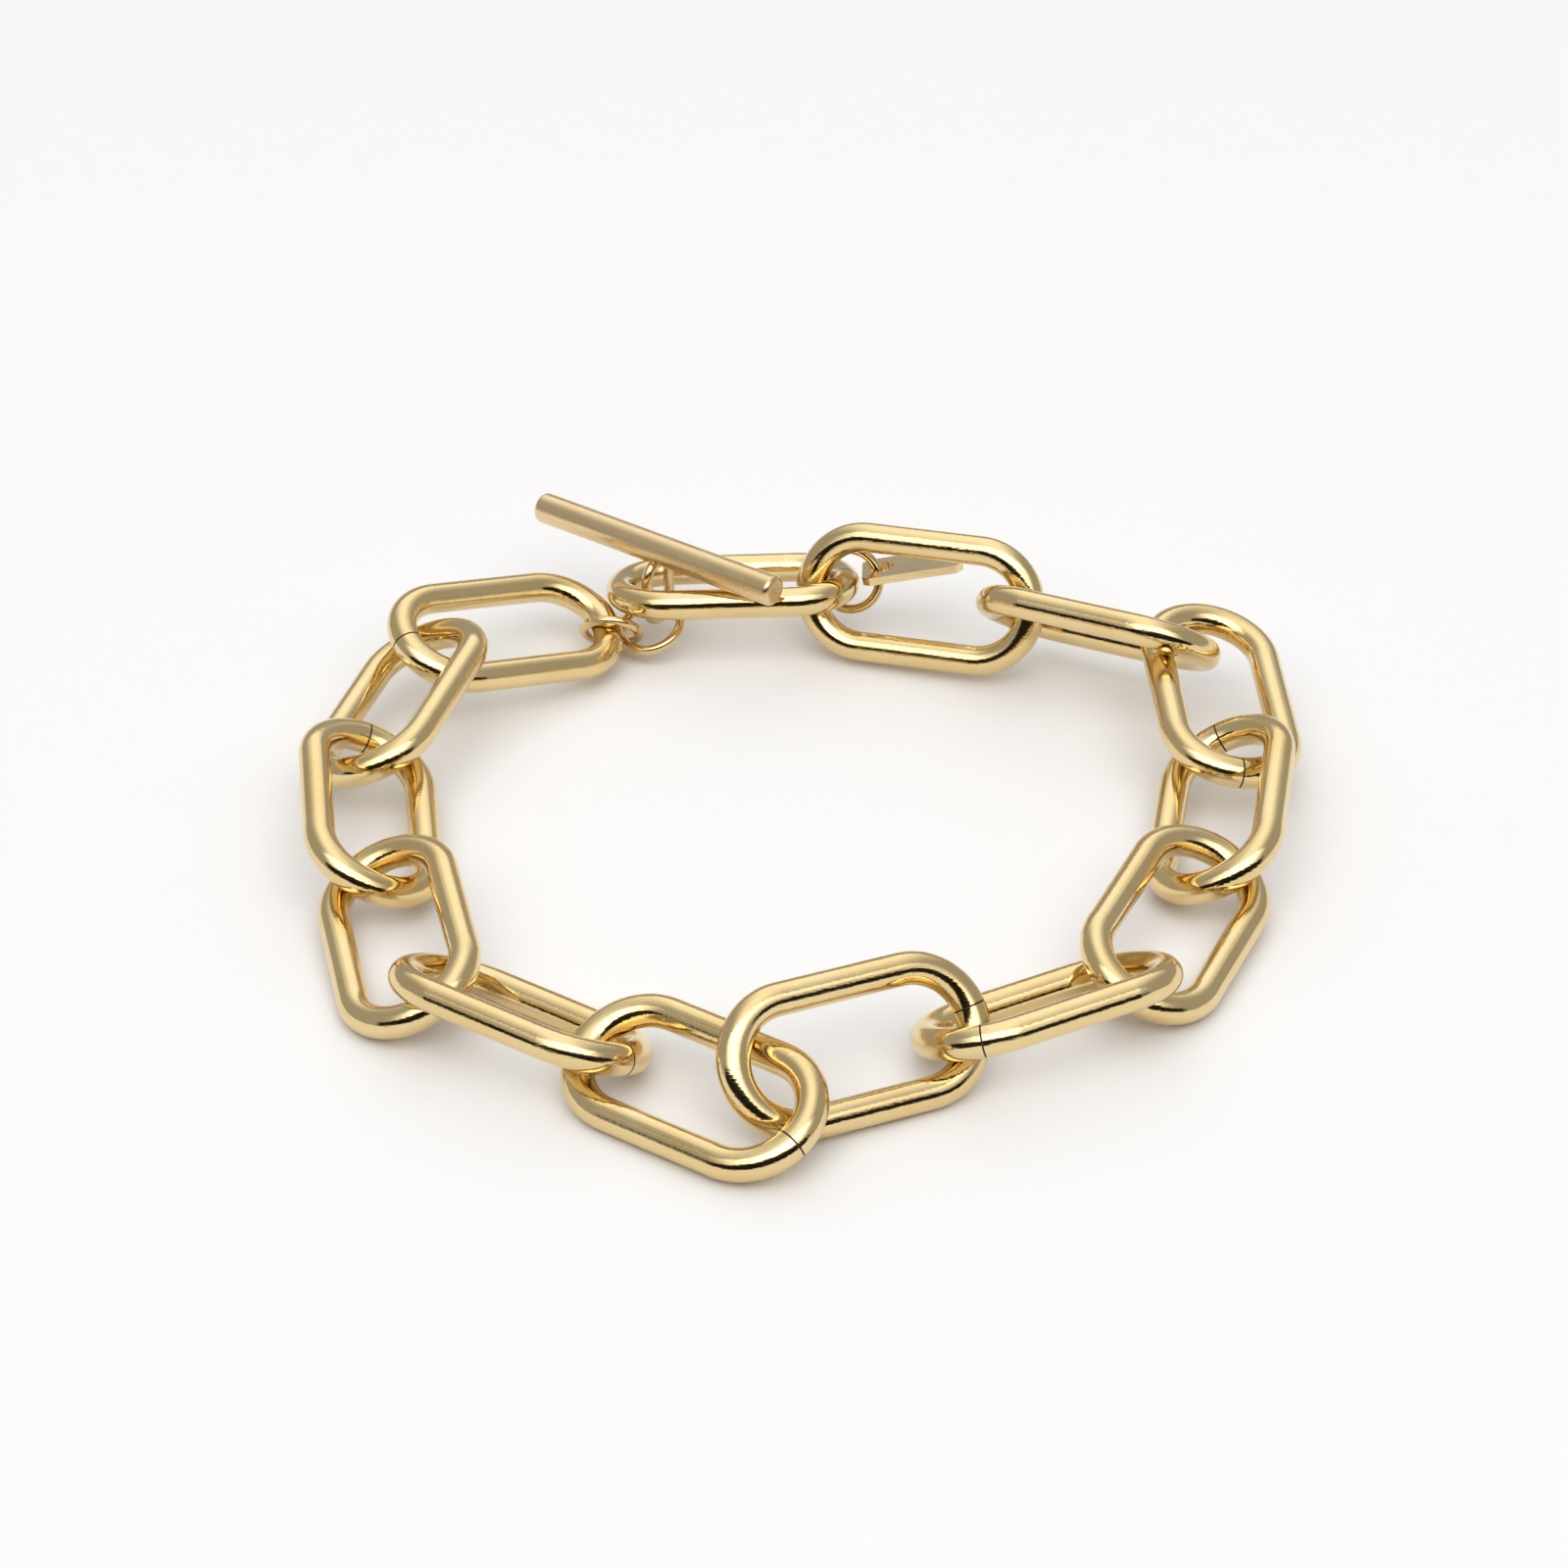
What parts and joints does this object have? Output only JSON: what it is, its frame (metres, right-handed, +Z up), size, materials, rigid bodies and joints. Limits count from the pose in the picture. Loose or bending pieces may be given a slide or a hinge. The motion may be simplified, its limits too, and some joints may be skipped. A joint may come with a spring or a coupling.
{
  "type": "link bracelet",
  "caption": "Gold coloured bracelet of long round wire links with a toggle bar, jump rings and a small bare tag, laid flat in a closed loop.",
  "frame": {"origin": "middle of the loop on the surface that the bracelet lies on", "axes": "+X along the front of the loop to the right, +Y to the clasp at the back, +Z up from the surface"},
  "size_m": [0.0701, 0.0738, 0.0104],
  "materials": {
    "link_gold": "polished",
    "bar_gold": "satin",
    "ring_gold": "polished",
    "tag_gold": "polished"
  },
  "bodies": {
    "root": {"link_01": "link_gold", "link_02": "link_gold", "link_03": "link_gold", "link_04": "link_gold", "link_05": "link_gold", "link_06": "link_gold", "link_07": "link_gold", "link_08": "link_gold", "link_09": "link_gold", "link_10": "link_gold", "link_11": "link_gold", "link_12": "link_gold", "link_13": "link_gold", "link_14": "link_gold", "toggle_bar": "bar_gold", "ring_1": "ring_gold", "ring_2": "ring_gold", "tag_ring": "ring_gold", "tag_plate": "tag_gold"}
  },
  "joints": []
}
